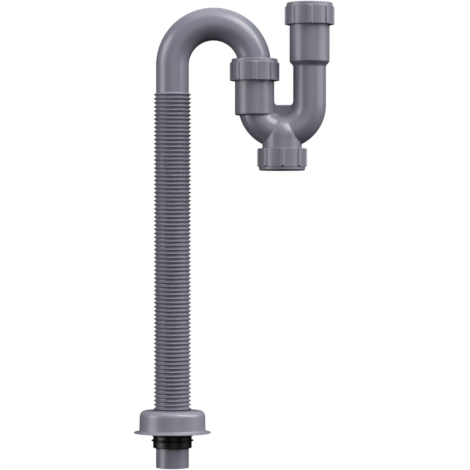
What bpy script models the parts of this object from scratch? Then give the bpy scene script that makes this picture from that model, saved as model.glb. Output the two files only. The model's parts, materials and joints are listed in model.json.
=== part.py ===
"""Flexible sink trap: a P trap with a slip-joint inlet, a cleanout below its bend, a smooth hook and a
corrugated pipe that ends in a floor spigot with a rubber sleeve and a floor cover.

The origin is the centre of the inlet socket's mouth, +Z up. The trap, the hook and the pipe lie in the
XZ plane, with the pipe towards -X. Sizes are in metres, written in millimetres times MM.
"""

import math

import bmesh
import bpy
from mathutils import Vector

MM = 0.001
TURN = 2 * math.pi

# Clearances
TOUCH_GAP = 0.3 * MM
SEAL_GAP = 0.45 * MM
SOCKET_GAP = 0.6 * MM
THREAD_GAP = 0.6 * MM
COVER_GAP = 0.55 * MM
EMBED = 1.0 * MM
CUT_PAST = 1.0 * MM

# Pipe, the same from the hook down to the floor spigot
PIPE_RADIUS = 16.0 * MM
PIPE_WALL = 1.5 * MM

# Trap body
INLET_SOCKET_RADIUS = 19.5 * MM
INLET_SOCKET_LENGTH = 51.0 * MM
SOCKET_CONE = 4.4 * MM
INLET_LEG_LENGTH = 93.6 * MM
LEG_RADIUS = 16.0 * MM
LEG_WALL = 2.2 * MM
U_BEND_RADIUS = 26.8 * MM
OUTLET_DROP = 54.7 * MM
OUTLET_SOCKET_RADIUS = 19.15 * MM
OUTLET_SOCKET_SKIRT = 10.0 * MM
SOCKET_BEVEL = 0.8 * MM
PIPE_STOP_GAP = 3.0 * MM
PIPE_STOP_TAPER = 2.0 * MM
MOUTH_CHAMFER = 2.0 * MM
MOUTH_CHAMFER_DEPTH = 3.5 * MM
CLEANOUT_RADIUS = 19.2 * MM
CLEANOUT_BELOW_BEND = 3.5 * MM
CLEANOUT_LENGTH = 27.6 * MM
FIN_THICKNESS = 3.0 * MM
FIN_FILLET = 2.5 * MM

# Slip joints: each has the same nut, slip ring and tapered seal
NUT_HEIGHT = 21.5 * MM
NUT_WALL = 2.5 * MM
NUT_EDGE_BEVEL = 0.6 * MM
NUT_LIP_HEIGHT = 3.4 * MM
NUT_LIP_STEP = 0.6 * MM
NUT_LIP_ROUND = 1.3 * MM
NUT_LIP_THICKNESS = 1.9 * MM
NUT_LIP_GAP = 1.7 * MM
NUT_RIB_COUNT = 8
NUT_RIB_HEIGHT = 1.6 * MM
NUT_RIB_BASE = 4.2 * MM
NUT_RIB_CROWN = 2.2 * MM
NUT_RIB_END = 1.2 * MM
NUT_RIB_SLOPE = 0.5 * MM
SLIP_RING_THICKNESS = 1.0 * MM
SLIP_RING_GAP = 1.1 * MM
SEAL_FLANGE = 2.2 * MM
SEAL_NOSE = 2.4 * MM
SEAL_FLANGE_STEP = 0.9 * MM
PLUG_HUB = 10.8 * MM
PLUG_WALL = 2.0 * MM

# Hook
HOOK_RADIUS = 40.05 * MM
HOOK_START_RISE = 0.4 * MM
HOOK_INSERT = 25.0 * MM
HOOK_LEG = 26.9 * MM

# Corrugated pipe
CUFF_LENGTH = 2.1 * MM
CREST_COUNT = 78
CREST_PITCH = 3.975 * MM
CREST_HEIGHT = 1.95 * MM
CREST_BASE = 2.4 * MM
SPIGOT_LENGTH = 57.8 * MM
SPIGOT_CHAMFER = 0.5 * MM
FLEX_DEPTH = 60.0 * MM

# Floor cover
COVER_BELOW_CREST = 1.6 * MM
COVER_HEIGHT = 22.4 * MM
COVER_WALL = 1.5 * MM
DOME_RADIUS = 31.8 * MM
DOME_SHOULDER = 5.4 * MM
DOME_DRAFT = 0.5 * MM
FLANGE_RADIUS = 37.5 * MM
FLANGE_THICKNESS = 0.9 * MM
FLANGE_RISE = 2.2 * MM
FLANGE_FILLET = 1.6 * MM

# Floor sleeve
SLEEVE_RADIUS = 18.85 * MM
SLEEVE_BELOW_COVER = 14.5 * MM
SLEEVE_LIP_REACH = 1.65 * MM
SLEEVE_LIP_THICKNESS = 1.0 * MM
SLEEVE_LIP_ROOT = 1.8 * MM
SLEEVE_LIP_DEPTHS = (2.0 * MM, 7.2 * MM)
SLEEVE_CORNER = 0.8 * MM
SLEEVE_FLANGE_RADIUS = 22.0 * MM
SLEEVE_FLANGE_THICKNESS = 2.0 * MM

# Facets of the solids
ROUND_FACETS = 24
PIPE_FACETS = 16
COVER_FACETS = 32
BEND_STEPS = 14
CORNER_STEPS = 3
DOME_STEPS = 5

# Places that follow from the sizes above
OUTLET_X = -2 * U_BEND_RADIUS
OUTLET_SOCKET_LENGTH = INLET_LEG_LENGTH + OUTLET_SOCKET_SKIRT - OUTLET_DROP
PIPE_STOP_DEPTH = HOOK_INSERT + PIPE_STOP_GAP
CLEANOUT_X = -U_BEND_RADIUS
CLEANOUT_DROP = INLET_LEG_LENGTH + U_BEND_RADIUS + CLEANOUT_BELOW_BEND + CLEANOUT_LENGTH
HOSE_X = OUTLET_X - 2 * HOOK_RADIUS
HOOK_ARC_Z = -OUTLET_DROP + HOOK_START_RISE
HOOK_END_Z = HOOK_ARC_Z - HOOK_LEG
PIPE_TOP_Z = HOOK_END_Z - TOUCH_GAP
FIRST_CREST_Z = HOOK_END_Z - CUFF_LENGTH
LAST_CREST_Z = FIRST_CREST_Z - (CREST_COUNT - 1) * CREST_PITCH
PIPE_END_Z = LAST_CREST_Z - SPIGOT_LENGTH
FLEX_Z = HOOK_END_Z - FLEX_DEPTH
COVER_TOP_Z = LAST_CREST_Z - COVER_BELOW_CREST
COVER_BASE_Z = COVER_TOP_Z - COVER_HEIGHT
SLEEVE_TOP_Z = COVER_TOP_Z - COVER_WALL - TOUCH_GAP
SLEEVE_END_Z = COVER_BASE_Z - SLEEVE_BELOW_COVER

# Radii and heights that follow, the heights measured outwards from a socket's mouth
LEG_BORE_RADIUS = LEG_RADIUS - LEG_WALL
PIPE_BORE_RADIUS = PIPE_RADIUS - PIPE_WALL
SOCKET_BORE_RADIUS = PIPE_RADIUS + SOCKET_GAP
MOUTH_RADIUS = SOCKET_BORE_RADIUS + MOUTH_CHAMFER
THREAD_BORE_RADIUS = max(INLET_SOCKET_RADIUS, OUTLET_SOCKET_RADIUS, CLEANOUT_RADIUS) + THREAD_GAP
INSIDE_NUT_RADIUS = THREAD_BORE_RADIUS - THREAD_GAP
NUT_RADIUS = THREAD_BORE_RADIUS + NUT_WALL
SEAL_BORE_RADIUS = PIPE_RADIUS + SEAL_GAP
SEAL_TOP = TOUCH_GAP + SEAL_FLANGE
RING_BOTTOM = SEAL_TOP + TOUCH_GAP
RING_TOP = RING_BOTTOM + SLIP_RING_THICKNESS
NUT_LIP_INSIDE = RING_TOP + TOUCH_GAP
NUT_TOP = NUT_LIP_INSIDE + NUT_LIP_THICKNESS
NUT_OPEN_END = NUT_TOP - NUT_HEIGHT
COVER_HOLE_RADIUS = PIPE_RADIUS + CREST_HEIGHT + COVER_GAP


def clear_scene():
    for obj in list(bpy.data.objects):
        bpy.data.objects.remove(obj, do_unlink=True)


def plastic(name, color, roughness):
    """A Principled material of one colour."""
    material = bpy.data.materials.new(name)
    material.use_nodes = True
    shader = material.node_tree.nodes["Principled BSDF"]
    shader.inputs["Base Color"].default_value = (*color, 1.0)
    shader.inputs["Roughness"].default_value = roughness
    shader.inputs["Metallic"].default_value = 0.0
    return material


def grey_plastic(name):
    return plastic(name, (0.19, 0.19, 0.225), 0.34)


def black_rubber(name):
    return plastic(name, (0.012, 0.012, 0.013), 0.3)


def axis_empty(name, x, z, flipped=False):
    """An empty on a joint's axis. Flipped, its +Z points down."""
    empty = bpy.data.objects.new(name, None)
    empty.location = (x, 0, z)
    empty.rotation_euler = (math.pi if flipped else 0, 0, 0)
    empty.empty_display_size = PIPE_RADIUS
    bpy.context.scene.collection.objects.link(empty)
    return empty


def object_from(bm, name, material, parent=None):
    """Makes an object of a bmesh, with its normals out and its round faces smooth."""
    bmesh.ops.recalc_face_normals(bm, faces=bm.faces)
    mesh = bpy.data.meshes.new(name)
    bm.to_mesh(mesh)
    bm.free()
    mesh.shade_smooth()
    mesh.set_sharp_from_angle(angle=math.radians(35))
    obj = bpy.data.objects.new(name, mesh)
    obj.parent = parent
    bpy.context.scene.collection.objects.link(obj)
    if material:
        mesh.materials.append(material)
    return obj


def turned(name, outline, material, facets, parent=None):
    """A solid of revolution about Z from a closed outline of (radius, height) points."""
    bm = bmesh.new()
    verts = [bm.verts.new((radius, 0, height)) for radius, height in outline]
    edges = [bm.edges.new((a, b)) for a, b in zip(verts, verts[1:] + verts[:1])]
    bmesh.ops.spin(
        bm, geom=verts + edges, cent=(0, 0, 0), axis=(0, 0, 1), angle=TURN, steps=facets, use_merge=True
    )
    bmesh.ops.remove_doubles(bm, verts=bm.verts, dist=0.001 * MM)
    return object_from(bm, name, material, parent)


def lofted(name, rings, material, parent=None, hollow=False):
    """A solid through rings of equally many points: capped at both ends, or hollow with the last ring
    joined to the first."""
    bm = bmesh.new()
    loops = [[bm.verts.new(point) for point in ring] for ring in rings]
    pairs = list(zip(loops, loops[1:] + loops[:1])) if hollow else list(zip(loops, loops[1:]))
    for below, above in pairs:
        for i, vert in enumerate(below):
            j = (i + 1) % len(below)
            bm.faces.new((vert, below[j], above[j], above[i]))
    if not hollow:
        bm.faces.new(loops[0])
        bm.faces.new(loops[-1])
    return object_from(bm, name, material, parent)


def ring_across(x, z, heading, radius, facets):
    """A ring round a pipe whose centre line runs in the XZ plane. heading is the line's angle from +X."""
    side = Vector((-math.sin(heading), 0, math.cos(heading)))
    points = []
    for i in range(facets):
        angle = TURN * i / facets
        points.append(Vector((x, 0, z)) + radius * (math.cos(angle) * side + Vector((0, math.sin(angle), 0))))
    return points


def bend_stations(center_x, center_z, bend_radius, start, sweep, radius):
    """Stations (x, z, heading, radius) on an arc of the centre line, turned by sweep from the angle start."""
    stations = []
    for i in range(BEND_STEPS + 1):
        angle = start + sweep * i / BEND_STEPS
        x = center_x + bend_radius * math.cos(angle)
        z = center_z + bend_radius * math.sin(angle)
        heading = angle + math.copysign(math.pi / 2, sweep)
        stations.append((x, z, heading, radius))
    return stations


def arc_points(center, radius, start, end, steps):
    """Points on an arc of an outline, from the angle start to the angle end, in degrees."""
    points = []
    for i in range(steps + 1):
        angle = math.radians(start + (end - start) * i / steps)
        points.append((center[0] + radius * math.cos(angle), center[1] + radius * math.sin(angle)))
    return points


def hidden_tool(obj):
    obj.hide_render = True
    obj.display_type = "WIRE"
    return obj


def combine(target, tool, operation):
    modifier = target.modifiers.new(f"{operation.lower()}_{tool.name}", "BOOLEAN")
    modifier.operation = operation
    modifier.solver = "EXACT"
    modifier.object = hidden_tool(tool)


def waterway_outside():
    """Rings of the inlet socket, the inlet leg and the U bend, ending inside the outlet socket."""
    down = -math.pi / 2
    up = math.pi / 2
    stations = [
        (0, 0, down, INLET_SOCKET_RADIUS),
        (0, -INLET_SOCKET_LENGTH, down, INLET_SOCKET_RADIUS),
        (0, -INLET_SOCKET_LENGTH - SOCKET_CONE, down, LEG_RADIUS),
    ]
    stations += bend_stations(CLEANOUT_X, -INLET_LEG_LENGTH, U_BEND_RADIUS, 0, -math.pi, LEG_RADIUS)
    stations.append((OUTLET_X, -INLET_LEG_LENGTH + LEG_RADIUS, up, LEG_RADIUS))
    return [ring_across(*station, ROUND_FACETS) for station in stations]


def waterway_inside():
    """Rings of the bore from the inlet's mouth to the outlet's mouth, with a seat for a pipe at each end."""
    down = -math.pi / 2
    up = math.pi / 2
    inlet_stop = -INLET_SOCKET_LENGTH + PIPE_STOP_TAPER
    outlet_stop = -OUTLET_DROP - PIPE_STOP_DEPTH
    past = CUT_PAST
    past_radius = MOUTH_RADIUS + MOUTH_CHAMFER * past / MOUTH_CHAMFER_DEPTH
    stations = [
        (0, past, down, past_radius),
        (0, -MOUTH_CHAMFER_DEPTH, down, SOCKET_BORE_RADIUS),
        (0, inlet_stop, down, SOCKET_BORE_RADIUS),
        (0, inlet_stop - PIPE_STOP_TAPER, down, LEG_BORE_RADIUS),
    ]
    stations += bend_stations(CLEANOUT_X, -INLET_LEG_LENGTH, U_BEND_RADIUS, 0, -math.pi, LEG_BORE_RADIUS)
    stations += [
        (OUTLET_X, outlet_stop - PIPE_STOP_TAPER, up, LEG_BORE_RADIUS),
        (OUTLET_X, outlet_stop, up, SOCKET_BORE_RADIUS),
        (OUTLET_X, -OUTLET_DROP - MOUTH_CHAMFER_DEPTH, up, SOCKET_BORE_RADIUS),
        (OUTLET_X, -OUTLET_DROP + past, up, past_radius),
    ]
    return [ring_across(*station, ROUND_FACETS) for station in stations]


def outlet_socket_outline():
    radius = OUTLET_SOCKET_RADIUS
    length = OUTLET_SOCKET_LENGTH
    return [(0, 0), (radius, 0), (radius, -length + SOCKET_BEVEL), (radius - SOCKET_BEVEL, -length), (0, -length)]


def branch_outline(radius):
    """A cylinder from the cleanout's mouth inwards, closed by a half sphere."""
    dome = arc_points((0, -CLEANOUT_LENGTH), radius, 0, -90, ROUND_FACETS // 4)
    return [(0, 0), (radius, 0), *dome]


def cleanout_bore_outline():
    dome = arc_points((0, -CLEANOUT_LENGTH), SOCKET_BORE_RADIUS, 0, -90, ROUND_FACETS // 4)
    past_radius = MOUTH_RADIUS + MOUTH_CHAMFER * CUT_PAST / MOUTH_CHAMFER_DEPTH
    return [(0, CUT_PAST), (past_radius, CUT_PAST), (SOCKET_BORE_RADIUS, -MOUTH_CHAMFER_DEPTH), *dome]


def fin_rings():
    """The web that fills the throat of the U bend, with a fillet up each leg."""
    left = OUTLET_X + OUTLET_SOCKET_RADIUS
    right = -LEG_RADIUS
    top = -INLET_LEG_LENGTH
    throat = U_BEND_RADIUS - LEG_RADIUS + EMBED
    outline = [(right + EMBED, top + FIN_FILLET)]
    outline += arc_points((right - FIN_FILLET, top + FIN_FILLET), FIN_FILLET, 0, -90, CORNER_STEPS)
    outline += arc_points((left + FIN_FILLET, top + FIN_FILLET), FIN_FILLET, -90, -180, CORNER_STEPS)
    outline += [(left - EMBED, top + FIN_FILLET)]
    outline += arc_points((CLEANOUT_X, top), throat, 180, 360, BEND_STEPS)
    half = FIN_THICKNESS / 2
    return [[Vector((x, side, z)) for x, z in outline] for side in (-half, half)]


def make_trap_body(outlet_axis, cleanout_axis):
    material = grey_plastic("trap_body_plastic")
    body = lofted("trap_body", waterway_outside(), material)
    socket = turned("outlet_socket_tool", outlet_socket_outline(), None, ROUND_FACETS, outlet_axis)
    branch = turned("cleanout_branch_tool", branch_outline(CLEANOUT_RADIUS), None, ROUND_FACETS, cleanout_axis)
    fin = lofted("throat_fin_tool", fin_rings(), None)
    bore = lofted("waterway_bore_tool", waterway_inside(), None)
    cleanout_bore = turned("cleanout_bore_tool", cleanout_bore_outline(), None, ROUND_FACETS, cleanout_axis)
    for tool in (socket, branch, fin):
        combine(body, tool, "UNION")
    for tool in (bore, cleanout_bore):
        combine(body, tool, "DIFFERENCE")
    return body


def nut_ring(height, radius, rib_height=0.0):
    """One level of the nut's outside or bore, in equal sectors of which each can carry a rib."""
    sector = TURN / NUT_RIB_COUNT
    points = []
    for i in range(NUT_RIB_COUNT):
        middle = i * sector
        for across, rise in ((-NUT_RIB_BASE, 0), (-NUT_RIB_CROWN, 1), (NUT_RIB_CROWN, 1), (NUT_RIB_BASE, 0)):
            reach = radius + rise * rib_height
            angle = middle + math.asin(across / 2 / reach)
            points.append((reach * math.cos(angle), reach * math.sin(angle), height))
        points.append((radius * math.cos(middle + sector / 2), radius * math.sin(middle + sector / 2), height))
    return points


def nut_rings():
    """The nut's levels: up the outside from its open end, over the lip and down the bore."""
    rib_top = NUT_TOP - NUT_LIP_HEIGHT
    lip_radius = NUT_RADIUS - NUT_LIP_STEP
    lip_bore = PIPE_RADIUS + NUT_LIP_GAP
    rib_bottom = NUT_OPEN_END + NUT_RIB_END
    return [
        nut_ring(NUT_OPEN_END, NUT_RADIUS - NUT_EDGE_BEVEL),
        nut_ring(NUT_OPEN_END + NUT_EDGE_BEVEL, NUT_RADIUS),
        nut_ring(rib_bottom, NUT_RADIUS),
        nut_ring(rib_bottom + NUT_RIB_SLOPE, NUT_RADIUS, NUT_RIB_HEIGHT),
        nut_ring(rib_top - NUT_RIB_SLOPE, NUT_RADIUS, NUT_RIB_HEIGHT),
        nut_ring(rib_top, NUT_RADIUS),
        nut_ring(rib_top + NUT_LIP_STEP, lip_radius),
        nut_ring(NUT_TOP - NUT_LIP_ROUND, lip_radius),
        nut_ring(NUT_TOP, lip_radius - NUT_LIP_ROUND),
        nut_ring(NUT_TOP, lip_bore),
        nut_ring(NUT_LIP_INSIDE, lip_bore),
        nut_ring(NUT_LIP_INSIDE, THREAD_BORE_RADIUS),
        nut_ring(NUT_OPEN_END, THREAD_BORE_RADIUS),
    ]


def make_nut(name, axis):
    return lofted(name, nut_rings(), grey_plastic(f"{name}_plastic"), axis, hollow=True)


def make_slip_ring(name, axis):
    bore = PIPE_RADIUS + SLIP_RING_GAP
    outside = INSIDE_NUT_RADIUS
    outline = [(bore, RING_BOTTOM), (outside, RING_BOTTOM), (outside, RING_TOP), (bore, RING_TOP)]
    return turned(name, outline, grey_plastic(f"{name}_plastic"), ROUND_FACETS, axis)


def make_seal(name, axis):
    """A tapered rubber washer: its nose lies in the mouth's chamfer and its flange on the mouth."""
    cone_top = MOUTH_RADIUS - TOUCH_GAP
    cone_end = cone_top - MOUTH_CHAMFER * SEAL_NOSE / MOUTH_CHAMFER_DEPTH
    flange = cone_top + SEAL_FLANGE_STEP
    outline = [
        (SEAL_BORE_RADIUS, -SEAL_NOSE),
        (cone_end, -SEAL_NOSE),
        (cone_top, 0),
        (cone_top, TOUCH_GAP),
        (flange, TOUCH_GAP),
        (flange, SEAL_TOP),
        (SEAL_BORE_RADIUS, SEAL_TOP),
    ]
    return turned(name, outline, black_rubber(f"{name}_rubber"), ROUND_FACETS, axis)


def make_cleanout_plug(axis):
    """A blanking plug: a flange where the other joints have a slip ring, and a hub through the seal."""
    floor = RING_TOP - PLUG_WALL
    hub_end = RING_BOTTOM - PLUG_HUB
    outline = [
        (0, RING_TOP),
        (INSIDE_NUT_RADIUS, RING_TOP),
        (INSIDE_NUT_RADIUS, RING_BOTTOM),
        (PIPE_RADIUS, RING_BOTTOM),
        (PIPE_RADIUS, hub_end),
        (PIPE_RADIUS - PLUG_WALL, hub_end),
        (PIPE_RADIUS - PLUG_WALL, floor),
        (0, floor),
    ]
    return turned("cleanout_plug", outline, grey_plastic("cleanout_plug_plastic"), ROUND_FACETS, axis)


def make_outlet_bend(outlet_axis):
    """The smooth hook, measured from the outlet's mouth: a leg in the socket, half a turn and a leg down."""
    up = math.pi / 2
    down = -math.pi / 2
    rings = []
    for radius in (PIPE_RADIUS, PIPE_BORE_RADIUS):
        stations = [(0, -HOOK_INSERT, up, radius)]
        stations += bend_stations(-HOOK_RADIUS, HOOK_START_RISE, HOOK_RADIUS, 0, math.pi, radius)
        stations.append((-2 * HOOK_RADIUS, HOOK_START_RISE - HOOK_LEG, down, radius))
        if radius == PIPE_BORE_RADIUS:
            stations.reverse()
        rings += [ring_across(*station, ROUND_FACETS) for station in stations]
    material = grey_plastic("outlet_bend_plastic")
    return lofted("outlet_bend", rings, material, outlet_axis, hollow=True)


def make_corrugated_pipe(flex_axis):
    """Ring after ring of narrow crests on the pipe, then the smooth spigot. Heights are from the flex axis."""
    bore = PIPE_BORE_RADIUS
    end = PIPE_END_Z - FLEX_Z
    outline = [(bore, PIPE_TOP_Z - FLEX_Z), (PIPE_RADIUS, PIPE_TOP_Z - FLEX_Z)]
    for i in range(CREST_COUNT):
        crest = FIRST_CREST_Z - FLEX_Z - i * CREST_PITCH
        outline.append((PIPE_RADIUS, crest + CREST_BASE / 2))
        outline.append((PIPE_RADIUS + CREST_HEIGHT, crest))
        outline.append((PIPE_RADIUS, crest - CREST_BASE / 2))
    outline += [(PIPE_RADIUS, end + SPIGOT_CHAMFER), (PIPE_RADIUS - SPIGOT_CHAMFER, end), (bore, end)]
    return turned("corrugated_pipe", outline, grey_plastic("corrugated_pipe_plastic"), PIPE_FACETS, flex_axis)


def make_floor_sleeve(flex_axis):
    """A rubber sleeve on the spigot with two sealing lips, and a flange that carries the cover."""
    bore = PIPE_RADIUS + TOUCH_GAP
    top = SLEEVE_TOP_Z - FLEX_Z
    end = SLEEVE_END_Z - FLEX_Z
    base = COVER_BASE_Z - FLEX_Z
    flange_under = top - SLEEVE_FLANGE_THICKNESS
    outline = [(bore, top), (SLEEVE_FLANGE_RADIUS, top), (SLEEVE_FLANGE_RADIUS, flange_under)]
    outline.append((SLEEVE_RADIUS, flange_under))
    for depth in SLEEVE_LIP_DEPTHS:
        lip = base - depth
        reach = SLEEVE_RADIUS + SLEEVE_LIP_REACH
        outline += [
            (SLEEVE_RADIUS, lip + SLEEVE_LIP_ROOT / 2),
            (reach, lip + SLEEVE_LIP_THICKNESS / 2),
            (reach, lip - SLEEVE_LIP_THICKNESS / 2),
            (SLEEVE_RADIUS, lip - SLEEVE_LIP_ROOT / 2),
        ]
    corner = (SLEEVE_RADIUS - SLEEVE_CORNER, end + SLEEVE_CORNER)
    outline += arc_points(corner, SLEEVE_CORNER, 0, -90, CORNER_STEPS)
    outline.append((bore, end))
    return turned("floor_sleeve", outline, black_rubber("floor_sleeve_rubber"), ROUND_FACETS, flex_axis)


def make_floor_cover(flex_axis):
    """A thin domed cover, open below, whose flange lies flat on the floor and thins towards its rim."""
    top = COVER_TOP_Z - FLEX_Z
    base = COVER_BASE_Z - FLEX_Z
    wall_foot = DOME_RADIUS + DOME_DRAFT
    shoulder = (DOME_RADIUS - DOME_SHOULDER, top - DOME_SHOULDER)
    fillet = (wall_foot + FLANGE_FILLET, base + FLANGE_RISE + FLANGE_FILLET)
    outline = [(COVER_HOLE_RADIUS, top)]
    outline += arc_points(shoulder, DOME_SHOULDER, 90, 0, DOME_STEPS)
    outline += arc_points(fillet, FLANGE_FILLET, 180, 270, CORNER_STEPS)
    outline += [(FLANGE_RADIUS, base + FLANGE_THICKNESS), (FLANGE_RADIUS, base), (wall_foot - COVER_WALL, base)]
    outline += arc_points(shoulder, DOME_SHOULDER - COVER_WALL, 0, 90, DOME_STEPS)
    outline.append((COVER_HOLE_RADIUS, top - COVER_WALL))
    return turned("floor_cover", outline, grey_plastic("floor_cover_plastic"), COVER_FACETS, flex_axis)


def main():
    clear_scene()
    inlet_axis = axis_empty("inlet_axis", 0, 0)
    outlet_axis = axis_empty("outlet_axis", OUTLET_X, -OUTLET_DROP)
    cleanout_axis = axis_empty("cleanout_axis", CLEANOUT_X, -CLEANOUT_DROP, flipped=True)
    flex_axis = axis_empty("flex_axis", HOSE_X, FLEX_Z)
    make_trap_body(outlet_axis, cleanout_axis)
    for joint, axis in (("inlet", inlet_axis), ("outlet", outlet_axis), ("cleanout", cleanout_axis)):
        make_nut(f"{joint}_nut", axis)
        make_seal(f"{joint}_seal", axis)
        if joint != "cleanout":
            make_slip_ring(f"{joint}_slip_ring", axis)
    make_cleanout_plug(cleanout_axis)
    make_outlet_bend(outlet_axis)
    make_corrugated_pipe(flex_axis)
    make_floor_sleeve(flex_axis)
    make_floor_cover(flex_axis)


main()
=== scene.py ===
"""Looks of the flexible sink trap: fine surfaces for every piece, satin grey plastic, glossy black
rubber, soft studio light and the photograph's camera.

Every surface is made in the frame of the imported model, in metres, with +Z up. The inlet socket's
mouth is the origin, and the trap, the hook and the pipe lie in the XZ plane.
"""

import json
import math

import bmesh
import bpy
import numpy as np
from mathutils import Matrix, Vector


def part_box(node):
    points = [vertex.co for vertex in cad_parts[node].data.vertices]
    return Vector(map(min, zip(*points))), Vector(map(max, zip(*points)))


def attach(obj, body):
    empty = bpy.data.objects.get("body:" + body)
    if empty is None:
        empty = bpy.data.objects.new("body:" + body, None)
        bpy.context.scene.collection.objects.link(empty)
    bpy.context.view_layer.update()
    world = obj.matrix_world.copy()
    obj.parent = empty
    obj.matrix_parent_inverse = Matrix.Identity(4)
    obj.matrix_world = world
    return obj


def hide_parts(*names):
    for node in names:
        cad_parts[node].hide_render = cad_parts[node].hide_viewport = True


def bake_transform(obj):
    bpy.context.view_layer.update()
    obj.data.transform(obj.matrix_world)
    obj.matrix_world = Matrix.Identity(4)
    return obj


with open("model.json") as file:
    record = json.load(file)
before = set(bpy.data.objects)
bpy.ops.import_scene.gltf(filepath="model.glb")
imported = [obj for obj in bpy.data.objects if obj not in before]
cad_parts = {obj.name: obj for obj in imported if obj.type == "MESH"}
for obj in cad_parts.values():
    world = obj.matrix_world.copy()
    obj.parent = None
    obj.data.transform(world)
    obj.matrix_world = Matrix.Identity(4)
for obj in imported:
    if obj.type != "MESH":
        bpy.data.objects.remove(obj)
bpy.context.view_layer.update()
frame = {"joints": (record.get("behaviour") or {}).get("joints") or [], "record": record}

MM = 0.001
TURN = 2 * math.pi

# The photograph
PHOTO_WIDTH_PX = 470
PIXEL = 0.975 * MM
CAMERA_DISTANCE = 2.35
CAMERA_REACH = 20.0
CAMERA_X = -72.7 * MM
CAMERA_Z = -220.4 * MM
SENSOR_MM = 36.0

# Places, from the joints of the frame
JOINTS = {joint["name"]: joint for joint in frame["joints"]}
COUPLINGS = {row["joint"]: row for row in frame["record"]["behaviour"]["couplings"]}
INLET = Vector(JOINTS["inlet_nut_turn"]["pos_m"])
OUTLET = Vector(JOINTS["outlet_nut_turn"]["pos_m"])
CLEANOUT = Vector(JOINTS["cleanout_nut_turn"]["pos_m"])
FLEX = Vector(JOINTS["pipe_flex"]["pos_m"])
THREAD_PITCH = COUPLINGS["inlet_nut_rise"]["ratio"] * TURN

# Pipe and hook
PIPE_RADIUS = 16.0 * MM
PIPE_BORE = 14.5 * MM
HOOK_RADIUS = (OUTLET.x - FLEX.x) / 2
HOOK_SETTLE = 0.6 * MM
HOOK_ARC_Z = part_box("outlet_bend")[1].z - HOOK_RADIUS - PIPE_RADIUS - HOOK_SETTLE
HOOK_FOOT_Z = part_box("outlet_bend")[0].z
HOOK_INSERT_Z = OUTLET.z - 25.0 * MM
HOOK_STEPS = 72
HOOK_BORE_STEPS = 48
PIPE_END_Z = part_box("corrugated_pipe")[0].z
PIPE_SEGMENTS = 72
CUFF_LENGTH = 2.3 * MM
CREST_COUNT = 78
CREST_PITCH = 3.975 * MM
CREST_HEIGHT = 2.35 * MM
CREST_ABOVE = 1.4 * MM
CREST_BELOW = 1.85 * MM
# Where a flank has its stations, in shares of its width from the crest
CREST_SAMPLES = (0.03, 0.1, 0.36, 0.65, 0.94)
FIRST_CREST_Z = HOOK_FOOT_Z - CUFF_LENGTH
LAST_CREST_Z = FIRST_CREST_Z - (CREST_COUNT - 1) * CREST_PITCH
SPIGOT_CHAMFER = 0.5 * MM
FLEX_REACH = 60.0 * MM
FLEX_BORE_STEPS = 40

# Trap body, in millimetres for its distance field
LEG = 16.0
LEG_BORE = 13.8
BEND_RADIUS = 26.8
BEND_Z = -93.6
INLET_MOUTH = 0.0
OUTLET_MOUTH = OUTLET.z / MM
CLEANOUT_MOUTH = CLEANOUT.z / MM
INLET_SOCKET = 19.5
INLET_SOCKET_END = -51.4
INLET_SOCKET_EDGE = 0.5
SOCKET_CONE_END = -55.5
OUTLET_SOCKET = 19.15
OUTLET_SOCKET_END = -103.6
OUTLET_SOCKET_EDGE = 1.4
SOCKET_BORE = 16.6
SOCKET_FILLET = 0.8
MOUTH_BORE = 18.6
MOUTH_CHAMFER_DEPTH = 3.5
MOUTH_CHAMFER_COSINE = 0.87
INLET_STOP = -49.0
OUTLET_STOP = OUTLET_MOUTH - 28.0
STOP_TAPER = 2.0
TUBE_INSET = 2
BORE_OVERSHOOT = 3.0
RIM_EDGE = 0.5
BRANCH = 19.2
BRANCH_SPHERE_Z = CLEANOUT_MOUTH + 27.6
BRANCH_FILLET = 0.6
FIN_HALF_THICKNESS = 1.5
FIN_CORNER = 3.4
FIN_EDGE = 0.8
FIN_FILLET = 0.9
FIELD_STEP = 0.84
FIELD_MARGIN = 1.25

# Slip joints, measured outwards from a socket's mouth
SLIP_JOINTS = (("inlet", INLET, False), ("outlet", OUTLET, False), ("cleanout", CLEANOUT, True))
NUT_RADIUS = 22.8 * MM
NUT_OPEN_END = -15.5 * MM
NUT_TOP = 6.0 * MM
NUT_LIP_RADIUS = 22.45 * MM
NUT_LIP_BORE = 17.7 * MM
NUT_LIP_INSIDE = 4.1 * MM
NUT_SEAT_BORE = 20.1 * MM
NUT_LEDGE = (2.5 * MM, 3.2 * MM)
NUT_LEDGE_SHARES = (0.0, 0.15, 0.4, 0.6, 0.85, 1.0)
NUT_EDGE = 0.45 * MM
NUT_EDGE_STEPS = 4
NUT_SHOULDER = 1.3 * MM
NUT_SHOULDER_STEPS = 6
RIB_COUNT = 8
RIB_HEIGHT = 1.4 * MM
# A rib's section: distance from its middle in millimetres, and share of its height there
RIB_SIDE = (0.0, 0.6, 1.05, 1.2, 1.33, 2.1, 2.24, 2.4, 2.65)
RIB_PROFILE = (1.0, 1.0, 1.0, 0.96, 0.87, 0.11, 0.03, 0.0, 0.0)
RIB_TOP = 2.8 * MM
RIB_SLANT = 1.3 * MM
# Where the wall has its rows, in shares of its height and of the ribs' slant
RIB_SHARES = (0.02, 0.3, 0.6)
RIB_SLANT_SHARES = (1.15, 1.0, 0.9, 0.6, 0.3)
RIB_FOOT = 0.6
RIB_SLANT_SOFTNESS = 0.25
COLUMNS_BETWEEN_RIBS = 6
FEMALE_ROOT = 21.15 * MM
MALE_ROOT = 19.45 * MM
MALE_INSIDE = 18.9 * MM
MALE_SEGMENTS = 96
THREAD_DEPTH = 1.4 * MM
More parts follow.
